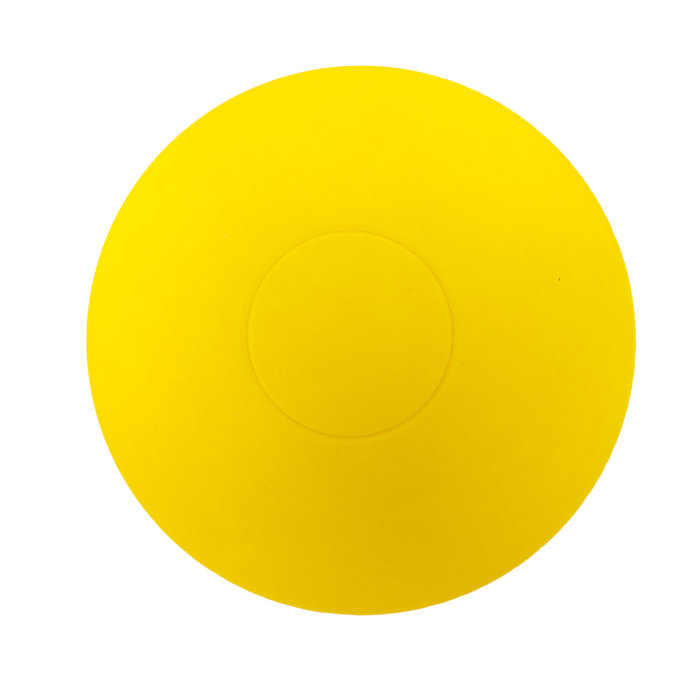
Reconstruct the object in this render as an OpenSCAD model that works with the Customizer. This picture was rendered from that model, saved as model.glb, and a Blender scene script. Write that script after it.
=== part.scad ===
// Lacrosse ball: a solid rubber core inside two moulded cover halves.
// The origin is the ball's centre. The ball lies with its pressed ring
// upwards, and the two halves of the cover knit together on the XY plane.

/* [Ball] */
// Diameter of the finished ball
ball_d = 63.5; // [62.7:0.1:64.7]

/* [Cover] */
// Thickness of the coloured cover
cover_t = 6.7; // [3:0.1:12]
// Thickness of the cement film between the cover and the core inside it
cement_t = 0.05; // [0.02:0.01:0.2]

/* [Pressed ring] */
// Diameter of the ring, along the bottom of its groove
ring_d = 23; // [16:0.5:30]
// Depth that the disc inside the ring is pressed below the ball's surface
disc_sink = 0.035; // [0.01:0.005:0.06]
// Depth of the ring's groove below the ball's surface
groove_depth = 0.1; // [0.09:0.01:0.2]
// Radius of the groove's rounded bottom
groove_bottom_r = 0.15; // [0.1:0.01:0.3]
// Radius that eases the groove into the disc inside it
inner_shoulder_r = 2; // [0.5:0.5:4]
// Radius that eases the groove into the ball outside it
outer_shoulder_r = 4.5; // [1:0.5:8]

/* [Seam] */
// Width of the band that is buffed flat where the flash was trimmed
seam_band_w = 3; // [1:0.1:5]
// Width of the fine V where the two halves knit
seam_v_w = 0.24; // [0.1:0.02:0.6]
// Depth of that V below the buffed band
seam_v_depth = 0.12; // [0.05:0.01:0.3]

/* [Hidden] */
$fn = 180;
cover_colour = [0.97, 0.86, 0.02];
core_colour = "dimgray";
// How far a cutting shape runs past the surface that it cuts
overrun = 1;
// How far two neighbouring arcs lap, so that they cross and leave no sliver
arc_lap = 0.0003;

ball_r = ball_d / 2;
cover_inner_r = ball_r - cover_t;
core_r = cover_inner_r - cement_t;
// The buffed band is a short cylinder that takes off the ball's bulge there
band_r = sqrt(pow(ball_r, 2) - pow(seam_band_w / 2, 2));

// Angle between the moulding axis and the ring, seen from the ball's centre
ring_angle = asin(ring_d / ball_d);
// Radius of the disc's face, which keeps the ball's centre
disc_r = ball_r - disc_sink;
// Distance of the groove's arc centre from the ball's centre
bottom_centre = ball_r - groove_depth + groove_bottom_r;

// A point at a distance from the ball's centre, turned from the moulding axis
function from_axis(distance, angle) = distance * [sin(angle), cos(angle)];

// Angle at the ball's centre between the groove's arc centre and a shoulder's,
// where the shoulder touches both the groove's arc and the face beside it
function shoulder_angle(face_r, shoulder_r) =
    acos((pow(bottom_centre, 2) + pow(face_r - shoulder_r, 2) - pow(groove_bottom_r + shoulder_r, 2))
        / (2 * bottom_centre * (face_r - shoulder_r)));

// One quarter of the cover's section, with the moulding axis upright
module cover_section() {
    difference() {
        intersection() {
            circle(r = ball_r);
            square([band_r, ball_r]);
        }
        circle(r = cover_inner_r);
        seam_v_section();
    }
}

// Half of the V that runs round the ball, cut into one half's rim
module seam_v_section() {
    polygon([
        [band_r - seam_v_depth, 0],
        [band_r, seam_v_w / 2],
        [band_r + overrun, seam_v_w / 2],
        [band_r + overrun, 0]
    ]);
}

// Section between the ball's surface and the disc that is pressed below it
module disc_section() {
    difference() {
        polygon([
            [0, 0],
            [0, ball_r + overrun],
            from_axis(ball_r + overrun, ring_angle / 2),
            from_axis(ball_r + overrun, ring_angle)
        ]);
        circle(r = disc_r);
    }
}

// Section of one side of the groove, from its bottom up to the face beside it.
// Side -1 rises to the disc and side 1 to the ball's own surface.
module groove_section(side, face_r, shoulder_r) {
    reach = ring_angle + side * shoulder_angle(face_r, shoulder_r);
    shoulder_centre = from_axis(face_r - shoulder_r + arc_lap, reach);
    difference() {
        polygon([
            from_axis(bottom_centre, ring_angle),
            shoulder_centre,
            from_axis(ball_r + overrun, reach),
            from_axis(ball_r + overrun, ring_angle)
        ]);
        translate(shoulder_centre)
            circle(r = shoulder_r);
    }
}

// Solid core of cured rubber
module core() {
    color(core_colour)
        sphere(r = core_r);
}

// Half of the cover that carries the pressed ring
module upper_cover() {
    color(cover_colour)
        rotate_extrude()
            difference() {
                cover_section();
                disc_section();
                groove_section(-1, disc_r, inner_shoulder_r);
                groove_section(1, ball_r, outer_shoulder_r);
                translate(from_axis(bottom_centre, ring_angle))
                    circle(r = groove_bottom_r);
            }
}

// Plain half of the cover, which the ball lies on
module lower_cover() {
    color(cover_colour)
        mirror([0, 0, 1])
            rotate_extrude()
                cover_section();
}

core();
upper_cover();
lower_cover();
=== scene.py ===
"""Dresses the lacrosse ball: its cured core, the two moulded halves of its cover and its table.

Sizes are in metres. The ball's centre is the origin, its pressed ring faces up the Z axis,
and the picture is taken from almost straight above with the Y axis towards its top.
"""

import math

import bpy
from bpy.props import FloatProperty, FloatVectorProperty, PointerProperty
from mathutils import Matrix, Vector


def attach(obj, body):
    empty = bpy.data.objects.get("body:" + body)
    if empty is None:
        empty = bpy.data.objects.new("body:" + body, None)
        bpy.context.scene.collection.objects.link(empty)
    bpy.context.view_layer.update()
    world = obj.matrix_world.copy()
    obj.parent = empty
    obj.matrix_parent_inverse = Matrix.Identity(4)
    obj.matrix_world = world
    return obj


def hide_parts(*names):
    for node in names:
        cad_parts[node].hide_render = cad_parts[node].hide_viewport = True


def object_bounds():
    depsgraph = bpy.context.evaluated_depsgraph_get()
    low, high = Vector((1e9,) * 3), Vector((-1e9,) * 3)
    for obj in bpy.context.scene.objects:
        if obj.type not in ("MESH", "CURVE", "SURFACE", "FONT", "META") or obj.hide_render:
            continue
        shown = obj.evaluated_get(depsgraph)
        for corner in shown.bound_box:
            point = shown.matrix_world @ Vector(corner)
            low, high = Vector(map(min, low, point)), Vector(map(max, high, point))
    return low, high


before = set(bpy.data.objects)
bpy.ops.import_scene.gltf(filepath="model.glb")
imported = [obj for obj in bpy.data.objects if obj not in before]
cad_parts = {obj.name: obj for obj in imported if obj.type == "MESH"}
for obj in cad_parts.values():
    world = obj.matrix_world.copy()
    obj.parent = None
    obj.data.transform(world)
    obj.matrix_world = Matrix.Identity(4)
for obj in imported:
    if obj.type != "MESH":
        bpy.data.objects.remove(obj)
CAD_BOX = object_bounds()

bl_info = {
    "name": "Lacrosse Ball",
    "version": (1, 0, 0),
    "blender": (4, 5, 0),
    "location": "3D View > Sidebar > Ball",
    "description": "Moulded cover, cured core and table of a solid rubber lacrosse ball",
    "category": "Add Mesh",
}

MM = 0.001
# The ball's lowest point lies one radius below the origin
BALL_DIAMETER = -2 * CAD_BOX[0].z

# The camera stands on the line from the ball's centre with this turn and height, and looks
# a little past the centre, so that the ball falls where the picture has it. The lens and
# the sensor are in millimetres.
PICTURE_WIDTH = 700
CAMERA_TURN = math.radians(60.2)
CAMERA_HEIGHT = math.radians(87.14)
CAMERA_DISTANCE = 0.825
CAMERA_LENS = 367.52
CAMERA_SENSOR = 36
AIM_LEFT = 1.305 * MM
AIM_DOWN = 1.088 * MM

# The marks that stand out from the plain rubber, in pixels from the picture's upper left corner
PALE_FLECK_PIXEL = (225.2, 235.9)
BROWN_SPECK_PIXEL = (559.6, 279.5)
PIT_PIXELS = (
    (338.4, 450.9), (382.6, 522.6), (156.0, 426.9), (280.2, 372.3),
    (411.2, 288.5), (269.6, 481.9), (462.1, 363.1), (247.0, 511.8),
)


# Node wiring

# The Mix node's sockets for colours: the share, the two colours and the result
MIX_SHARE, MIX_FIRST, MIX_SECOND, MIX_RESULT = 0, 6, 7, 2


class Wire:
    """A node's output. Python's operators on it add Math nodes to its tree."""

    def __init__(self, bench, socket):
        self.bench, self.socket = bench, socket

    def math(self, operation, *others):
        return self.bench.math(operation, self, *others)

    def __add__(self, other):
        return self.math("ADD", other)

    def __radd__(self, other):
        return self.bench.math("ADD", other, self)

    def __sub__(self, other):
        return self.math("SUBTRACT", other)

    def __rsub__(self, other):
        return self.bench.math("SUBTRACT", other, self)

    def __mul__(self, other):
        return self.math("MULTIPLY", other)

    def __rmul__(self, other):
        return self.bench.math("MULTIPLY", other, self)

    def __truediv__(self, other):
        return self.math("DIVIDE", other)

    def __rtruediv__(self, other):
        return self.bench.math("DIVIDE", other, self)

    def __pow__(self, other):
        return self.math("POWER", other)

    def __neg__(self):
        return self.math("MULTIPLY", -1)

    def __abs__(self):
        return self.math("ABSOLUTE")

    def output(self, name):
        """Another output of the same node."""
        return Wire(self.bench, self.socket.node.outputs[name])

    def parts(self):
        """The three numbers of a vector."""
        split = self.bench.add("ShaderNodeSeparateXYZ", sockets={0: self})
        return split, split.output("Y"), split.output("Z")

    def vector(self, operation, other=None, output="Vector", **sockets):
        """One step of Vector Math."""
        sockets = {0: self, **({} if other is None else {1: other}), **sockets}
        return self.bench.add("ShaderNodeVectorMath", {"operation": operation}, sockets, output)

    def rise(self, start, end, shape="SMOOTHSTEP"):
        """0 up to start, 1 past end, and an eased step between."""
        settings = {"interpolation_type": shape}
        sockets = {"Value": self, "From Min": start, "From Max": end}
        return self.bench.add("ShaderNodeMapRange", settings, sockets)

    def clamped(self):
        """The same value, held between 0 and 1."""
        return self.rise(0, 1, "LINEAR")

    def hump(self, centre, width):
        """A bell that is 1 at the centre and fades over about the width on each side."""
        return (-(((self - centre) / width) ** 2)).math("EXPONENT")

    def slot(self, half_width, steepness=6):
        """1 inside a slot round 0 and 0 outside it, between steep but rounded walls."""
        return (-((self / half_width) ** 2) ** steepness).math("EXPONENT")


class Bench:
    """A node tree on which nodes are laid out and wired."""

    def __init__(self, tree):
        self.tree = tree

    def add(self, kind, settings=None, sockets=None, output=0):
        """Adds a node, with its settings first, then its sockets' values or links."""
        node = self.tree.nodes.new(kind)
        for name, value in (settings or {}).items():
            setattr(node, name, value)
        for name, value in (sockets or {}).items():
            if isinstance(value, Wire):
                self.tree.links.new(value.socket, node.inputs[name])
            else:
                node.inputs[name].default_value = value
        return Wire(self, node.outputs[output]) if node.outputs else node

    def math(self, operation, *values):
        return self.add("ShaderNodeMath", {"operation": operation}, dict(enumerate(values)))

    def vector(self, x, y, z):
        return self.add("ShaderNodeCombineXYZ", sockets={0: x, 1: y, 2: z})

    def noise(self, place, scale, detail=2.0, roughness=0.5, stretch=None):
        """Cloudy variation round 0, mostly within half of 1 each way.

        Its cells number scale to each unit of the place. Along an axis where the stretch is
        small they are drawn out.
        """
        if stretch:
            place = place.vector("MULTIPLY", stretch)
        sockets = {"Vector": place, "Scale": scale, "Detail": detail, "Roughness": roughness}
        return self.add("ShaderNodeTexNoise", sockets=sockets) * 2 - 1

    def mix(self, share, first, second):
        """A colour between two."""
        sockets = {MIX_SHARE: share, MIX_FIRST: first, MIX_SECOND: second}
        return self.add("ShaderNodeMix", {"data_type": "RGBA"}, sockets, MIX_RESULT)


def added_up(level, shares, patterns):
    """A level with patterns on it, each with its share."""
    for name, share in shares.items():
        level = level + share * patterns[name]
    return level


def colour(rgb):
    """A colour socket's four numbers."""
    return (*rgb, 1)


# Sizes and colours


def length(name, default_mm, description):
    """A size that is given in millimetres and kept in metres."""
    return FloatProperty(
        name=name, default=default_mm * MM, description=description,
        min=0, precision=6, unit="LENGTH", subtype="DISTANCE",
    )


def paint(name, default, description):
    """A colour, as its linear red, green and blue."""
    return FloatVectorProperty(
        name=name, default=default, description=description,
        size=3, min=0, max=1, subtype="COLOR",
    )


class CoverSettings(bpy.types.PropertyGroup):
    """Sizes and colours of the moulded cover"""

    ball_diameter: FloatProperty(
        name="Ball diameter", default=BALL_DIAMETER, min=0.01, precision=5, unit="LENGTH",
        subtype="DISTANCE", description="Diameter of the finished ball",
    )
    thickness: length("Thickness", 6.7, "Thickness of the coloured cover")
    ring_diameter: length("Ring diameter", 23, "Diameter of the pressed ring along its groove")
    groove_depth: length("Groove depth", 0.02, "Depth of the ring's hairline groove")
    groove_half_width: length("Groove half width", 0.03, "Half of the hairline groove's width")
    disc_sink: length(
        "Disc sink", 0.034, "How far the disc inside the ring sits below the ball",
    )
    trench_sink: length(
        "Trench sink", 0.026, "How much lower than the disc the foot of the shoulders lies",
    )
    inner_shoulder: length(
        "Inner shoulder", 0.68, "How far inside the groove the disc starts to fall towards it",
    )
    outer_shoulder: length(
        "Outer shoulder", 1.05, "How far outside the groove the ball's full round is reached",
    )
    joint_angle: FloatProperty(
        name="Joint angle", default=math.radians(43.7), unit="ROTATION", subtype="ANGLE",
        description="Where the ring's two ends meet, turned from the X axis",
    )
    joint_step: length(
        "Joint step", 0.32, "How far one end of the ring turns out past the other",
    )
    ring_bulge: length("Ring bulge", 0.09, "How far the ring bulges out at its top")
    band_width: length("Band width", 3, "Width of the band that is buffed flat at the seam")
    knit_width: length("Knit line width", 0.24, "Width of the fine V where the halves knit")
    knit_depth: length("Knit line depth", 0.12, "Depth of that V below the buffed band")
    flash_ragging: length(
        "Flash ragging", 0.05, "How deep the trimmed flash is torn beside the seam",
    )
    buffing_dents: length(
        "Buffing dents", 0.22, "How deep the buffing wheel bit where it chattered round the band",
    )
    waviness: length("Waviness", 0.004, "How far the moulded skin swells and sinks")
    rubber: paint("Rubber", (0.953, 0.733, 0.0005), "Colour of the yellow rubber")
    deep: paint("Deep tone", (0.909, 0.669, 0.0005), "Colour where the pigment lies thicker")
    # A painted rim light: the paler tone along the seam on one side of the ball
    rim_light_tone: paint(
        "Hazed tone", (0.975, 0.85, 0.003),
        "Colour of the skin that the buffing wheel brushed beside the band",
    )
    buffed: paint("Buffed tone", (0.95, 0.84, 0.03), "Colour of the freshly buffed band")
    # In the groove this tone is grime and painted shade that darkens the hairline; in the knit line
    # it is grime
    grime_and_shade_tone: paint(
        "Grimy tone", (0.87, 0.60, 0.001),
        "Colour of the dirt that stays in the groove and the knit line",
    )
    # The tone of the painted paler streaks on each side of the groove
    pale_streaked: paint(
        "Polished tone", (0.92, 0.79, 0.001), "Colour of the polished skin beside the groove",
    )
    brown: paint("Pit", (0.60, 0.24, 0.01), "Colour of the dirt in a small pit")
    scorched: paint("Scorched speck", (0.42, 0.06, 0.01), "Colour of a speck of scorched rubber")
    pale: paint("Fleck", (0.95, 0.80, 0.16), "Colour of a pale fleck of filler")
    cement: paint("Cement", (0.52, 0.36, 0.10), "Colour of the cement on the cover's inner wall")


class CoreSettings(bpy.types.PropertyGroup):
    """Sizes and colours of the cured core"""

    cement_gap: length(
        "Cement gap", 0.05, "Thickness of the cement between the core and the cover",
    )
    rasping: length("Rasping", 0.12, "How deep the core was rasped so that the cement holds")
    rubber: paint("Rubber", (0.05, 0.048, 0.045), "Colour of the reground rubber")
    light_crumb: paint("Light crumb", (0.20, 0.19, 0.17), "Colour of the lighter crumbs")


class StageSettings(bpy.types.PropertyGroup):
    """The table and the light"""

    table: paint(
        "Table", (0.8, 0.8, 0.8), "Colour of the table, which bounces light up at the ball",
    )
    table_size: length("Table size", 6000, "Width of the table")
    sky: FloatProperty(
        name="Room light", default=0.679, min=0, description="Strength of the light from all round",
    )
    sky_tint: paint("Room tint", (1.0, 0.786, 0.89), "Tint of the light from all round")
    lamp_distance: length("Lamp distance", 1200, "How far the softboxes stand from the ball")


# Geometry

# An edge sharper than this, in radians, keeps its crease
CREASE_ANGLE = 1.2

# The tube's rows that each stretch of a cover half's section gets, and its columns. The
# stretches run from the pole over the outside to the knit line, then back along the rim
# and up the inner wall.
STRETCH_ROWS = {
    "Disc rows": 20,
    "Inner lip rows": 13,
    "Groove rows": 22,
    "Outer lip rows": 16,
    "Crown rows": 44,
    "Seam rows": 24,
    "Rim rows": 4,
    "Inner wall rows": 20,
}
COLUMNS = 600
# How much closer the columns stand where the ring's two ends meet, as a share of their pitch
COLUMN_CROWDING = 0.6
# Where the stretches beside the groove end, outwards from it, and how far above the knit
# line the seam's starts
RING_STRETCH_ENDS = (-1.0 * MM, -0.08 * MM, 0.08 * MM, 1.25 * MM)
SEAM_STRETCH = 1.9 * MM
# The tube's points that fall this close together at the poles become one
MERGE_DISTANCE = 0.001 * MM

# Turns round the ring, counted from the joint of its two ends. One end steps out at the
# joint and has come back at its return, and the groove fades out in the gap between them.
END_STEP = (math.radians(-0.55), math.radians(-0.05))
END_RETURN = math.radians(2.6)
GAP_MIDDLE, GAP_FADE = math.radians(-0.3), math.radians(0.3)
BULGE_MIDDLE, BULGE_FADE = math.radians(65), math.radians(10)
# How far beside the groove the skin moves with an end or with the bulge
CARRIED_REACH = 0.5 * MM
# Where the two shoulders come down to their foot, outwards from the groove
INNER_FOOT, OUTER_FOOT = -0.24 * MM, 0.18 * MM
# How much the groove's depth changes along the ring, as a share of it
GROOVE_UNEVENNESS = 0.35

# Streaks beside the groove: the middle of each, outwards from the groove, and how far it
# fades. The groove holds grime and painted shade, the shoulder's foot painted shade, and
# the disc and the crown painted paler streaks.
GROOVE_GRIME_AND_SHADE = (0.03 * MM, 0.17 * MM)
SHOULDER_SHADE = (0.34 * MM, 0.14 * MM)
DISC_PALE_STREAK = (-0.36 * MM, 0.17 * MM)
CROWN_PALE_STREAK = (0.75 * MM, 0.35 * MM)
# Their strength. The groove's grime and painted shade change along the ring, and its painted
# shade is deepest on the side away from the main softbox, which lies at this turn past the
# joint, in radians.
GROOVE_GRIME_AND_SHADE_LEVEL = 0.82
GROOVE_GRIME_AND_SHADE_SHARES = {"shaded side": 0.26, "patches": 0.22}
SHADED_SIDE_TURN = -1.65
SHOULDER_SHADE_SHARE, DISC_PALE_STREAK_SHARE, CROWN_PALE_STREAK_SHARE = 0.10, 0.27, 0.16

# How far above the knit line the flash is torn
TORN_REACH = 0.45 * MM
# How far the buffed band lies inside the ball's own flat, and how deep its slow waves are
BUFFED_OFF = 0.012 * MM
BAND_WAVES = 0.008 * MM
# How far the band and the V round off into the skin
EDGE_ROUNDING = 0.02 * MM

# The core: how fine its sphere is, and what the rasp's strokes and the crumb take off it
CORE_SUBDIVISIONS = 7
RASPED_LEVEL = 0.5
RASPED_SHARES = {"strokes": 0.3, "crumb": 0.4}


def tree_with_inputs(name, sizes):
    """A geometry tree with one named input for each size, and the wires that bring them in."""
    tree = bpy.data.node_groups.new(name, "GeometryNodeTree")
    for label, value in sizes.items():
        if isinstance(value, bpy.types.Material):
            kind = "NodeSocketMaterial"
        elif isinstance(value, int):
            kind = "NodeSocketInt"
        else:
            kind = "NodeSocketFloat"
        tree.interface.new_socket(label, in_out="INPUT", socket_type=kind)
    tree.interface.new_socket("Piece", in_out="OUTPUT", socket_type="NodeSocketGeometry")
    bench = Bench(tree)
    entry = bench.add("NodeGroupInput")
    return bench, {label: entry.output(label) for label in sizes}


def finish_tree(bench, mesh, material):
    """Ends a tree in a realised, smooth mesh with its material."""
    real = bench.add("GeometryNodeRealizeInstances", sockets={0: mesh})
    smooth = bench.add("GeometryNodeSetShadeSmooth", {"domain": "FACE"}, {0: real})
    angle = bench.add("GeometryNodeInputMeshEdgeAngle")
    sharper = {"data_type": "FLOAT", "operation": "GREATER_THAN"}
    crease = bench.add("FunctionNodeCompare", sharper, {0: angle, 1: CREASE_ANGLE})
    sockets = {0: smooth, 1: crease, 2: False}
    creased = bench.add("GeometryNodeSetShadeSmooth", {"domain": "EDGE"}, sockets)
    sockets = {"Geometry": creased, "Material": material}
    painted = bench.add("GeometryNodeSetMaterial", sockets=sockets)
    bench.add("NodeGroupOutput", sockets={"Piece": painted})


def built_piece(name, tree, sizes):
    """Runs a tree on an empty object and keeps the result as its plain mesh."""
    piece = bpy.data.objects.new(name, bpy.data.meshes.new(name))
    bpy.context.scene.collection.objects.link(piece)
    modifier = piece.modifiers.new("Build", "NODES")
    modifier.node_group = tree
    for item in tree.interface.items_tree:
        if item.in_out == "INPUT":
            modifier[item.identifier] = sizes[item.name]
    evaluated = piece.evaluated_get(bpy.context.evaluated_depsgraph_get())
    mesh = bpy.data.meshes.new_from_object(evaluated)
    if not mesh.polygons:
        raise RuntimeError(f"{name}: the geometry tree made no faces")
    piece.modifiers.remove(modifier)
    # The empty object's own slot comes first and holds nothing
    if mesh.materials[0] is None:
        mesh.materials.pop(index=0)
    piece.data = mesh
    mesh.name = name
    return piece


def cover_sizes(cover, material, side):
    """What the cover's tree is told. side is 1 for the upper half and -1 for the lower."""
    return {
        "Ball radius": cover.ball_diameter / 2,
        "Cover thickness": cover.thickness,
        "Ring angle": math.asin(cover.ring_diameter / cover.ball_diameter),
        "Groove depth": cover.groove_depth,
        "Groove half width": cover.groove_half_width,
        "Disc sink": cover.disc_sink,
        "Trench sink": cover.trench_sink,
        "Inner shoulder": cover.inner_shoulder,
        "Outer shoulder": cover.outer_shoulder,
        "Joint angle": cover.joint_angle,
        "Joint step": cover.joint_step,
        "Ring bulge": cover.ring_bulge,
        "Ring is pressed": max(side, 0),
        "Band half width": cover.band_width / 2,
        "Knit line half width": cover.knit_width / 2,
        "Knit line depth": cover.knit_depth,
        "Flash ragging": cover.flash_ragging,
        "Buffing dents": cover.buffing_dents,
        "Waviness": cover.waviness,
        "Side": float(side),
        "Columns": COLUMNS,
        **STRETCH_ROWS,
        "Rubber": material,
    }


def cover_tree(sizes):
    """One half of the cover, made from a tube whose rows are laid along the half's section.

    From the pole the rows run over the disc inside the ring, the ring's groove, the crown
    and the buffed seam to the knit line, then back along the rim and up the inner wall.
    """
    bench, ask = tree_with_inputs("Cover half", sizes)
    radius, ring_angle, side = ask["Ball radius"], ask["Ring angle"], ask["Side"]
    total = sum(ask[label] for label in STRETCH_ROWS)
    sockets = {"Vertices": ask["Columns"], "Side Segments": total, "Radius": 1.0, "Depth": 1.0}
    tube = bench.add("GeometryNodeMeshCylinder", {"fill_type": "NONE"}, sockets)
    x, y, z = bench.add("GeometryNodeInputPosition").parts()
    # The tube's columns crowd together where the ring's two ends meet
    from_joint = y.math("ARCTAN2", x) - ask["Joint angle"]
    past_joint = from_joint - COLUMN_CROWDING * from_joint.math("SINE")
    turn = past_joint + ask["Joint angle"]

    # How far down each of the stretches a row lies, and its angle from the pole
    row = (0.5 - z) * total
    first_row, shares = 0, {}
    for label in STRETCH_ROWS:
        shares[label] = ((row - first_row) / ask[label]).clamped()
        first_row = first_row + ask[label]
    quarter = math.pi / 2
    ends = [0, *(ring_angle + reach / radius for reach in RING_STRETCH_ENDS)]
    ends += [quarter - SEAM_STRETCH / radius, quarter]
    outside = zip(ends, ends[1:], shares.values())
    tilt = sum((end - start) * share for start, end, share in outside)

    # The ring's two ends don't quite meet: one of them turns out past the other
    turned_out = ask["Joint step"] * (1 - past_joint.rise(0, END_RETURN, "LINEAR"))
    turned_out = turned_out * past_joint.rise(*END_STEP)
    bulged_out = ask["Ring bulge"] * past_joint.hump(BULGE_MIDDLE, BULGE_FADE)
    from_ring = (tilt - ring_angle) * radius
    tilt = tilt + (turned_out + bulged_out) * from_ring.hump(0, CARRIED_REACH) / radius
    sine, cosine = tilt.math("SINE"), tilt.math("COSINE")
    on_ball = bench.vector(
        radius * sine * turn.math("COSINE"),
        radius * sine * turn.math("SINE") * side,
        radius * cosine * side,
    )
    place = on_ball.vector("SCALE", Scale=1 / MM)

    # The ring: a hairline groove between soft shoulders, round a disc that sits a little low
    on_circle = bench.vector(turn.math("COSINE"), turn.math("SINE"), 0)
    patches = bench.noise(on_circle, scale=2.2)
    whole = 1 - past_joint.hump(GAP_MIDDLE, GAP_FADE)
    groove = ask["Groove depth"] * (1 + GROOVE_UNEVENNESS * patches)
    groove = groove * from_ring.slot(ask["Groove half width"]) * whole
    inner = from_ring.rise(-ask["Inner shoulder"], INNER_FOOT)
    outer = from_ring.rise(OUTER_FOOT, ask["Outer shoulder"], "SMOOTHERSTEP")
    sink = (ask["Disc sink"] + ask["Trench sink"] * inner) * (1 - outer)
    pressed = (groove + sink) * ask["Ring is pressed"]

    # The ring's marks: above 0 for grime and painted shade, below 0 for painted paler streaks
    # Painted shade: the groove is darkest on the side turned away from the main softbox
    shaded_side = (past_joint - SHADED_SIDE_TURN).math("COSINE")
    spread = {"shaded side": shaded_side, "patches": patches}
    # The groove's streak: grime, and painted shade that darkens the hairline as its own shade would
    grime_and_shade = added_up(GROOVE_GRIME_AND_SHADE_LEVEL, GROOVE_GRIME_AND_SHADE_SHARES, spread) * from_ring.hump(*GROOVE_GRIME_AND_SHADE)
    # Painted shade at the foot of the outer shoulder
    grime_and_shade = (grime_and_shade + SHOULDER_SHADE_SHARE * from_ring.hump(*SHOULDER_SHADE)) * whole
    # Painted paler streaks on the disc and the crown beside the groove
    pale_streak = DISC_PALE_STREAK_SHARE * from_ring.hump(*DISC_PALE_STREAK)
    pale_streak = pale_streak + CROWN_PALE_STREAK_SHARE * from_ring.hump(*CROWN_PALE_STREAK)
    grime_shade_and_streaks = (grime_and_shade - pale_streak) * ask["Ring is pressed"]

    # The skin swells and sinks a little, and always inwards of the ball
    swell = bench.noise(place, scale=0.16, detail=2.5) * 0.5 + 0.5
    skin = radius - pressed - ask["Waviness"] * swell

    # The seam: the ball's bulge is buffed off in a band, with torn flash beside a fine V
    height = skin * cosine
    band = (radius ** 2 - ask["Band half width"] ** 2).math("SQRT")
    torn = bench.noise(place, scale=1.3, detail=3.0, roughness=0.6).math("MAXIMUM", 0)
    torn = torn * height.hump(0, TORN_REACH)
    dented = bench.noise(place, scale=0.9, stretch=(1, 1, 0.15)).math("MAXIMUM", 0)
    waves = bench.noise(place, scale=0.25) * BAND_WAVES
    flat = band - ask["Flash ragging"] * torn - ask["Buffing dents"] * dented
    flat = flat - BUFFED_OFF - waves
    knit = band - ask["Knit line depth"] * (1 - height / ask["Knit line half width"])
    width = (skin * sine).math("SMOOTH_MIN", flat, EDGE_ROUNDING)
    width = width.math("SMOOTH_MIN", knit, EDGE_ROUNDING)

    # The rim and the inner wall
    wall = radius - ask["Cover thickness"]
    wall_angle = shares["Inner wall rows"] * quarter
    wall_width, wall_height = wall * wall_angle.math("COSINE"), wall * wall_angle.math("SINE")
    across = width + (wall_width - width) * shares["Rim rows"]
    up = height + (wall_height - height) * shares["Rim rows"]
    spot = bench.vector(across * turn.math("COSINE"), across * turn.math("SINE") * side, up * side)
    marked = bench.add(
        "GeometryNodeStoreNamedAttribute", {"data_type": "FLOAT", "domain": "POINT"},
        {"Geometry": tube, "Name": "ring_grime_shade_and_streaks", "Value": grime_shade_and_streaks},
    )
    moved = bench.add("GeometryNodeSetPosition", sockets={"Geometry": marked, "Position": spot})
    sockets = {"Geometry": moved, "Distance": MERGE_DISTANCE}
    closed = bench.add("GeometryNodeMergeByDistance", sockets=sockets)
    finish_tree(bench, closed, ask["Rubber"])
    return bench.tree


def core_sizes(cover, core, material):
    """What the core's tree is told."""
    return {
        "Core radius": cover.ball_diameter / 2 - cover.thickness - core.cement_gap,
        "Rasping": core.rasping,
        "Rubber": material,
    }


def core_tree(sizes):
    """The core, a ball of cured crumb whose skin was rasped in strokes."""
    bench, ask = tree_with_inputs("Core", sizes)
    sockets = {"Radius": ask["Core radius"], "Subdivisions": CORE_SUBDIVISIONS}
    ball = bench.add("GeometryNodeMeshIcoSphere", sockets=sockets)
    here = bench.add("GeometryNodeInputPosition")
    place = here.vector("SCALE", Scale=1 / MM)
    patterns = {
        "strokes": bench.noise(place, scale=1.0, detail=3.0, stretch=(0.25, 1.1, 0.5)),
        "crumb": bench.noise(place, scale=0.7, detail=3.0, roughness=0.6),
    }
    depth = ask["Rasping"] * added_up(RASPED_LEVEL, RASPED_SHARES, patterns).clamped()
    sunk = here.vector("NORMALIZE").vector("SCALE", Scale=ask["Core radius"] - depth)
    moved = bench.add("GeometryNodeSetPosition", sockets={"Geometry": ball, "Position": sunk})
    finish_tree(bench, moved, ask["Rubber"])
    return bench.tree


# Materials. Their lengths are in millimetres, apart from the depth of a bump.

# The patterns in the cover's skin
SKIN_PATTERNS = {
    "clouds": {"scale": 0.09, "detail": 3.0},
    "blots": {"scale": 0.3},
    "fuzz": {"scale": 0.9},
    "grain": {"scale": 3.5, "roughness": 0.6},
    "scuffs": {"scale": 1.0, "detail": 3.0, "roughness": 0.6, "stretch": (0.5, 0.5, 7)},
    "smear": {"scale": 1.0, "detail": 4.0, "roughness": 0.6, "stretch": (0.2, 0.2, 0.9)},
}
# What they add to the rubber's tone, which runs from rubber to deep, to its roughness, to
# its relief, to the buffed tone, to the painted rim light and to the cement
MOTTLE_LEVEL = 0.5
MOTTLE_SHARES = {"clouds": 0.16, "blots": 0.34, "fuzz": 0.30, "grain": 0.30}
SKIN_ROUGHNESS = 0.62
SKIN_ROUGHNESS_SHARES = {"clouds": 0.05, "grain": 0.04, "band": 0.10}
SKIN_RELIEF_SHARES = {"grain": 0.35, "fuzz": 0.5, "band scuffs": 1.6, "pits": -1.5}
SKIN_RELIEF_DEPTH = 0.0015 * MM
BUFFED_LEVEL, BUFFED_SHARES = 0.30, {"grain": 0.25}
RIM_LIGHT_LEVEL, RIM_LIGHT_SHARES = 0.52, {"blots": 0.6}
CEMENT_LEVEL, CEMENT_SHARES = 0.55, {"smear": 0.5}

# The outside's tones begin between these depths under the ball's round. Below them is cement.
CEMENT_DEPTHS = (0.9, 0.6)
# The buffed tone's edge wanders by this much with the fuzz, and fades from inside to
# outside the band's own edge
BAND_WANDER = 0.25
BAND_FADE = (-0.15, 0.1)
# The knit line's dirt: its strength, where it starts to fade, and where it ends as a share
# of the line's width
KNIT_DIRT = 0.5
KNIT_DIRT_START = 0.02
KNIT_DIRT_REACH = 0.6
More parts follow.
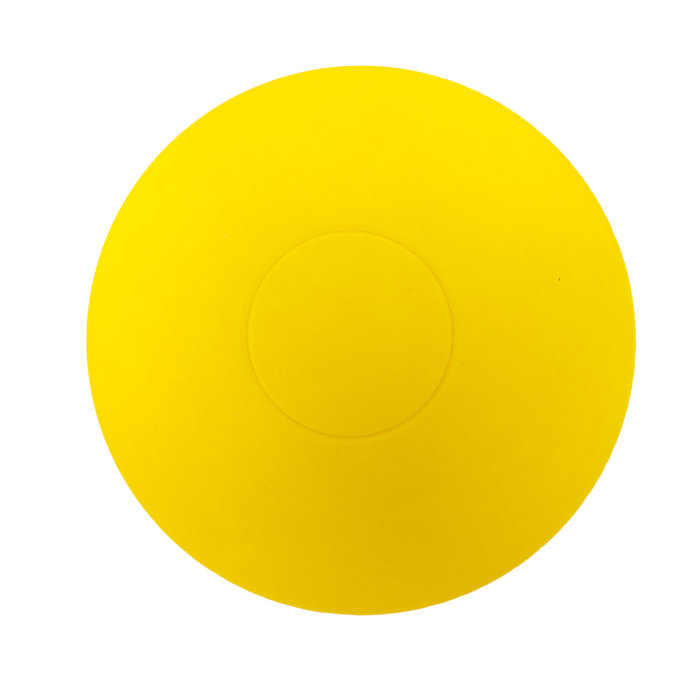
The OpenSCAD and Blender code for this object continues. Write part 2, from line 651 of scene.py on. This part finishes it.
# The painted rim light: how far it fades from the seam, the way to the side of the ball where
# it lies, and how far from the middle it is full on that side
RIM_LIGHT_FADE = 5
LIT_RIM_SIDE = (0.26, -0.97)
LIT_RIM_SIDE_FULL = 15

# Spots that are scattered over the skin, and the share of a spot's radius with its full tone
DARK_SPOTS = {"scale": 0.45, "size": 0.16, "share": 0.10}
PALE_SPOTS = {"scale": 0.35, "size": 0.12, "share": 0.04}
PALE_SPOTS_SHIFT = (7.3, 1.9, 4.1)
SPOT_CORE = 0.4
DARK_SPOT_STRENGTH, PALE_SPOT_STRENGTH = 0.22, 0.25
# The marks of the picture: where each starts to fade from its middle and where it ends.
# The brown speck is slender across the picture.
PIT_FADE = (0, 0.32)
PALE_FLECK_FADE = (0.05, 0.11)
BROWN_SPECK_FADE = (0.12, 0.27)
BROWN_SPECK_SQUEEZE = (3.0, 0.95, 1)
BROWN_SPECK_STRENGTH = 0.9

# The core's crumbs: their number to a millimetre, the share of them that is plain dark, and
# what the light ones and the fine grain add to the tone, the roughness and the relief
CRUMB_SCALE = 0.9
DARK_CRUMBS = 0.62
CRUMB_TONE_SHARES = {"light crumbs": 0.8, "fine": 0.12}
CRUMB_ROUGHNESS, CRUMB_ROUGHNESS_SHARES = 0.82, {"fine": 0.08}
CRUMB_RELIEF_SHARES = {"crumbs": 0.6, "fine": 0.4}
CRUMB_RELIEF_DEPTH = 0.05 * MM
CRUMB_GLOSS = 0.25

# The camera sees the table as this share of a glow of this strength, over its own surface
TABLE_GLOW_SHARE = 0.7
TABLE_GLOW = 1.25


def material_bench(name):
    """A new material, and the bench on which its nodes are laid out."""
    material = bpy.data.materials.new(name)
    material.use_nodes = True
    material.node_tree.nodes.clear()
    return material, Bench(material.node_tree)


def surface(bench, settings):
    """Puts a Principled shader on the material's output."""
    shader = bench.add("ShaderNodeBsdfPrincipled", sockets=settings)
    bench.add("ShaderNodeOutputMaterial", sockets={"Surface": shader})


def bump(bench, height, depth):
    """A normal from a pattern's height, where 1 stands depth metres proud."""
    sockets = {"Height": height, "Distance": depth}
    return bench.add("ShaderNodeBump", sockets=sockets, output="Normal")


def millimetres(bench):
    """The place on the object, in millimetres."""
    return bench.add("ShaderNodeTexCoord", output="Object").vector("SCALE", Scale=1 / MM)


def camera_frame():
    """The camera's place, and its right, up and back directions."""
    away = Vector((
        math.sin(CAMERA_TURN) * math.cos(CAMERA_HEIGHT),
        -math.cos(CAMERA_TURN) * math.cos(CAMERA_HEIGHT),
        math.sin(CAMERA_HEIGHT),
    ))
    picture_top = Vector((0, 1, 0))
    right = picture_top.cross(away).normalized()
    up = away.cross(right)
    place = away * CAMERA_DISTANCE
    target = -right * AIM_LEFT - up * AIM_DOWN
    back = (place - target).normalized()
    right = picture_top.cross(back).normalized()
    return place, right, back.cross(right), back


def under_pixel(pixel, radius):
    """The point of the ball, in millimetres, that the camera sees at a pixel of the picture."""
    place, right, up, back = camera_frame()
    middle = PICTURE_WIDTH / 2
    pixels_per_unit = CAMERA_LENS / CAMERA_SENSOR * PICTURE_WIDTH
    rightwards, downwards = ((count - middle) / pixels_per_unit for count in pixel)
    ray = (right * rightwards - up * downwards - back).normalized()
    nearest = place.dot(ray)
    reach = -nearest - math.sqrt(nearest ** 2 - place.length_squared + radius ** 2)
    return tuple((place + ray * reach) / MM)


def mark(place, pixel, radius, fade, squeeze=None):
    """A mark under a pixel of the picture: 1 at its middle and 0 past the end of its fade.

    Along an axis where the squeeze is above 1 the mark is narrower.
    """
    offset = place.vector("SUBTRACT", under_pixel(pixel, radius))
    if squeeze:
        offset = offset.vector("MULTIPLY", squeeze)
    return 1 - offset.vector("LENGTH", output="Value").rise(*fade)


def spots(bench, place, scale, size, share):
    """Round spots, one in a share of the cells, which number scale to a millimetre."""
    sockets = {"Vector": place, "Scale": scale}
    cells = bench.add("ShaderNodeTexVoronoi", sockets=sockets, output="Distance")
    chance, _, _ = cells.output("Color").parts()
    chosen = chance.math("LESS_THAN", share)
    return (1 - cells.rise(SPOT_CORE * size * scale, size * scale)) * chosen


def moulded_rubber(cover):
    """Yellow rubber as it leaves the mould: matt, even, with faint clouds and a few specks."""
    material, bench = material_bench("moulded_rubber")
    place = millimetres(bench)
    looks = {name: bench.noise(place, **kind) for name, kind in SKIN_PATTERNS.items()}
    right, upwards, height = place.parts()
    from_seam = abs(height)
    # The ring's grime and painted shade, and its painted paler streaks, from the cover's tree
    grime_shade_and_streaks = bench.add("ShaderNodeAttribute", {"attribute_name": "ring_grime_shade_and_streaks"}, output="Fac")

    # Plain rubber with a painted rim light beside the buffed band on one side, the buffed band,
    # and grime in the knit line and the groove, which in the groove is also painted shade
    tone = bench.mix(
        added_up(MOTTLE_LEVEL, MOTTLE_SHARES, looks).clamped(),
        colour(cover.rubber), colour(cover.deep),
    )
    # Painted rim light: paler along the seam, on the ball's -Y side only
    lit_rim_side = LIT_RIM_SIDE[0] * right + LIT_RIM_SIDE[1] * upwards
    painted_rim_light = from_seam.hump(0, RIM_LIGHT_FADE) * lit_rim_side.rise(-LIT_RIM_SIDE_FULL, LIT_RIM_SIDE_FULL)
    painted_rim_light = painted_rim_light * added_up(RIM_LIGHT_LEVEL, RIM_LIGHT_SHARES, looks)
    tone = bench.mix(painted_rim_light, tone, colour(cover.rim_light_tone))
    band_edges = [cover.band_width / 2 / MM + fade for fade in BAND_FADE]
    in_band = 1 - (from_seam + BAND_WANDER * looks["fuzz"]).rise(*band_edges)
    buffed = in_band * added_up(BUFFED_LEVEL, BUFFED_SHARES, looks)
    tone = bench.mix(buffed, tone, colour(cover.buffed))
    in_knit = 1 - from_seam.rise(KNIT_DIRT_START, cover.knit_width / MM * KNIT_DIRT_REACH)
    # Grime in the knit line, and grime with painted shade in the groove
    tone = bench.mix(KNIT_DIRT * in_knit + grime_shade_and_streaks, tone, colour(cover.grime_and_shade_tone))
    # Painted paler streaks beside the groove
    tone = bench.mix(-grime_shade_and_streaks, tone, colour(cover.pale_streaked))

    # Scattered spots, and the marks that the picture shows
    radius = cover.ball_diameter / 2
    dark_spots = spots(bench, place, **DARK_SPOTS)
    for pixel in PIT_PIXELS:
        dark_spots = dark_spots.math("MAXIMUM", mark(place, pixel, radius, PIT_FADE))
    pale_spots = spots(bench, place.vector("ADD", PALE_SPOTS_SHIFT), **PALE_SPOTS)
    brown_speck = mark(place, BROWN_SPECK_PIXEL, radius, BROWN_SPECK_FADE, BROWN_SPECK_SQUEEZE)
    pale_fleck = mark(place, PALE_FLECK_PIXEL, radius, PALE_FLECK_FADE)
    tone = bench.mix(DARK_SPOT_STRENGTH * dark_spots, tone, colour(cover.brown))
    tone = bench.mix(PALE_SPOT_STRENGTH * pale_spots, tone, colour(cover.pale))
    tone = bench.mix(BROWN_SPECK_STRENGTH * brown_speck, tone, colour(cover.scorched))
    tone = bench.mix(pale_fleck, tone, colour(cover.pale))

    # Cement on the rim and the inner wall
    smeared = added_up(CEMENT_LEVEL, CEMENT_SHARES, looks).clamped()
    inside = bench.mix(smeared, colour(cover.cement), colour(cover.deep))
    skin_starts = [radius / MM - depth for depth in CEMENT_DEPTHS]
    on_skin = place.vector("LENGTH", output="Value").rise(*skin_starts)
    tone = bench.mix(on_skin, inside, tone)

    looks.update({"band": in_band, "band scuffs": in_band * looks["scuffs"], "pits": dark_spots})
    relief = added_up(0, SKIN_RELIEF_SHARES, looks)
    surface(bench, {
        "Base Color": tone,
        "Roughness": added_up(SKIN_ROUGHNESS, SKIN_ROUGHNESS_SHARES, looks),
        "Specular IOR Level": 0.0,
        "Normal": bump(bench, relief, SKIN_RELIEF_DEPTH),
    })
    return material


def cured_crumb(core):
    """Reground rubber, cured into a dark ball with lighter crumbs in it."""
    material, bench = material_bench("cured_crumb")
    place = millimetres(bench)
    sockets = {"Vector": place, "Scale": CRUMB_SCALE}
    crumbs = bench.add("ShaderNodeTexVoronoi", sockets=sockets, output="Distance")
    shade, _, _ = crumbs.output("Color").parts()
    looks = {
        "crumbs": crumbs,
        "light crumbs": shade.rise(DARK_CRUMBS, 1, "LINEAR"),
        "fine": bench.noise(place, scale=2.4, detail=3.0, roughness=0.6),
    }
    share = added_up(0, CRUMB_TONE_SHARES, looks).clamped()
    surface(bench, {
        "Base Color": bench.mix(share, colour(core.rubber), colour(core.light_crumb)),
        "Roughness": added_up(CRUMB_ROUGHNESS, CRUMB_ROUGHNESS_SHARES, looks),
        "Specular IOR Level": CRUMB_GLOSS,
        "Normal": bump(bench, added_up(0, CRUMB_RELIEF_SHARES, looks), CRUMB_RELIEF_DEPTH),
    })
    return material


def seen_directly(bench):
    """1 for the camera's own rays and those off gloss and through glass, and 0 for the light's."""
    rays = bench.add("ShaderNodeLightPath", output="Is Camera Ray")
    gloss, glass = rays.output("Is Glossy Ray"), rays.output("Is Transmission Ray")
    return rays.math("MAXIMUM", gloss).math("MAXIMUM", glass)


def table_surface(stage):
    """A pale table. The camera sees it near white, with the ball's shadow on it."""
    material, bench = material_bench("table")
    plain = bench.add("ShaderNodeBsdfDiffuse", sockets={"Color": colour(stage.table)})
    sockets = {"Color": colour((1, 1, 1)), "Strength": TABLE_GLOW}
    bright = bench.add("ShaderNodeEmission", sockets=sockets)
    seen = bench.add("ShaderNodeMixShader", sockets={0: TABLE_GLOW_SHARE, 1: plain, 2: bright})
    both = bench.add("ShaderNodeMixShader", sockets={0: seen_directly(bench), 1: plain, 2: seen})
    bench.add("ShaderNodeOutputMaterial", sockets={"Surface": both})
    return material


# Stage

# Each softbox: name, turn from the X axis and height in degrees, watts, width in metres, tint
SOFTBOXES = (
    ("window_box", 120, 30, 4.44, 0.6, (0.88, 1.12, 1.0)),
    ("corner_box", 30, 12, 4.81, 0.4, (0.89, 1.11, 1.0)),
    ("side_box", 180, 12, 3.84, 0.4, (0.88, 1.12, 1.0)),
    ("near_box", 270, 12, 1.56, 0.4, (1.12, 0.88, 1.0)),
)


def add_softboxes(distance):
    """Stands the softboxes round the ball and turns them to it."""
    for name, turn, height, watts, width, tint in SOFTBOXES:
        lamp = bpy.data.lights.new(name, "AREA")
        lamp.energy, lamp.size, lamp.color = watts, width, tint
        box = bpy.data.objects.new(name, lamp)
        turn, height = math.radians(turn), math.radians(height)
        away = Vector((
            math.cos(height) * math.cos(turn),
            math.cos(height) * math.sin(turn),
            math.sin(height),
        ))
        box.location = away * distance
        box.rotation_mode = "QUATERNION"
        box.rotation_quaternion = (-away).to_track_quat("-Z", "Y")
        box.visible_camera = False
        bpy.context.scene.collection.objects.link(box)


def add_room(stage):
    """Even light from all round, which the camera sees as a white room."""
    world = bpy.data.worlds.new("room")
    world.use_nodes = True
    world.node_tree.nodes.clear()
    bench = Bench(world.node_tree)
    sockets = {"Color": colour(stage.sky_tint), "Strength": stage.sky}
    light = bench.add("ShaderNodeBackground", sockets=sockets)
    sockets = {"Color": colour((1, 1, 1)), "Strength": 1.0}
    white = bench.add("ShaderNodeBackground", sockets=sockets)
    both = bench.add("ShaderNodeMixShader", sockets={0: seen_directly(bench), 1: light, 2: white})
    bench.add("ShaderNodeOutputWorld", sockets={"Surface": both})
    bpy.context.scene.world = world


def add_camera():
    """Sets up the camera where the picture was taken from."""
    place, right, up, back = camera_frame()
    data = bpy.data.cameras.new("camera")
    data.sensor_width, data.lens = CAMERA_SENSOR, CAMERA_LENS
    camera = bpy.data.objects.new("camera", data)
    turned = Matrix((right, up, back)).transposed().to_4x4()
    camera.matrix_world = Matrix.Translation(place) @ turned
    bpy.context.scene.collection.objects.link(camera)
    bpy.context.scene.camera = camera


def add_table(stage, height):
    """Lays the table at the height of the ball's lowest point."""
    half = stage.table_size / 2
    mesh = bpy.data.meshes.new("table")
    corners = [(x * half, y * half, height) for x, y in ((-1, -1), (1, -1), (1, 1), (-1, 1))]
    mesh.from_pydata(corners, [], [(0, 1, 2, 3)])
    mesh.materials.append(table_surface(stage))
    table = bpy.data.objects.new("table", mesh)
    bpy.context.scene.collection.objects.link(table)


# Operators


class BALL_OT_cover(bpy.types.Operator):
    """Mould both halves of the yellow cover"""

    bl_idname = "ball.mould_cover"
    bl_label = "Mould the Cover"

    def execute(self, context):
        cover = context.scene.ball_cover
        rubber = moulded_rubber(cover)
        tree = cover_tree(cover_sizes(cover, rubber, 1))
        for name, node, side in (
            ("upper_cover_rubber", "upper_cover", 1),
            ("lower_cover_rubber", "lower_cover", -1),
        ):
            half = built_piece(name, tree, cover_sizes(cover, rubber, side))
            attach(half, "root")
            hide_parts(node)
        return {"FINISHED"}


class BALL_OT_core(bpy.types.Operator):
    """Cure the core and rasp its skin"""

    bl_idname = "ball.cure_core"
    bl_label = "Cure the Core"

    def execute(self, context):
        core = context.scene.ball_core
        sizes = core_sizes(context.scene.ball_cover, core, cured_crumb(core))
        ball = built_piece("core_rubber_ball", core_tree(sizes), sizes)
        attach(ball, "root")
        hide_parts("core")
        return {"FINISHED"}


class BALL_OT_stage(bpy.types.Operator):
    """Lay the ball on a pale table in soft light, and set up the camera"""

    bl_idname = "ball.set_stage"
    bl_label = "Set the Stage"

    def execute(self, context):
        stage = context.scene.ball_stage
        add_table(stage, CAD_BOX[0].z)
        add_room(stage)
        add_softboxes(stage.lamp_distance)
        add_camera()
        context.scene.view_settings.view_transform = "Standard"
        return {"FINISHED"}


STEPS = (BALL_OT_core, BALL_OT_cover, BALL_OT_stage)


class BALL_PT_panel(bpy.types.Panel):
    """The steps that make the ball, and their sizes and colours"""

    bl_idname = "BALL_PT_panel"
    bl_label = "Lacrosse Ball"
    bl_space_type = "VIEW_3D"
    bl_region_type = "UI"
    bl_category = "Ball"

    def draw(self, context):
        scene = context.scene
        for step, group in zip(STEPS, (scene.ball_core, scene.ball_cover, scene.ball_stage)):
            box = self.layout.box()
            box.operator(step.bl_idname)
            for name in group.__annotations__:
                box.prop(group, name)


CLASSES = (CoverSettings, CoreSettings, StageSettings, *STEPS, BALL_PT_panel)


def register():
    for made in CLASSES:
        bpy.utils.register_class(made)
    bpy.types.Scene.ball_cover = PointerProperty(type=CoverSettings)
    bpy.types.Scene.ball_core = PointerProperty(type=CoreSettings)
    bpy.types.Scene.ball_stage = PointerProperty(type=StageSettings)


def unregister():
    del bpy.types.Scene.ball_stage, bpy.types.Scene.ball_core, bpy.types.Scene.ball_cover
    for made in reversed(CLASSES):
        bpy.utils.unregister_class(made)


def main():
    register()
    bpy.ops.ball.cure_core()
    bpy.ops.ball.mould_cover()
    bpy.ops.ball.set_stage()


if __name__ == "__main__":
    main()
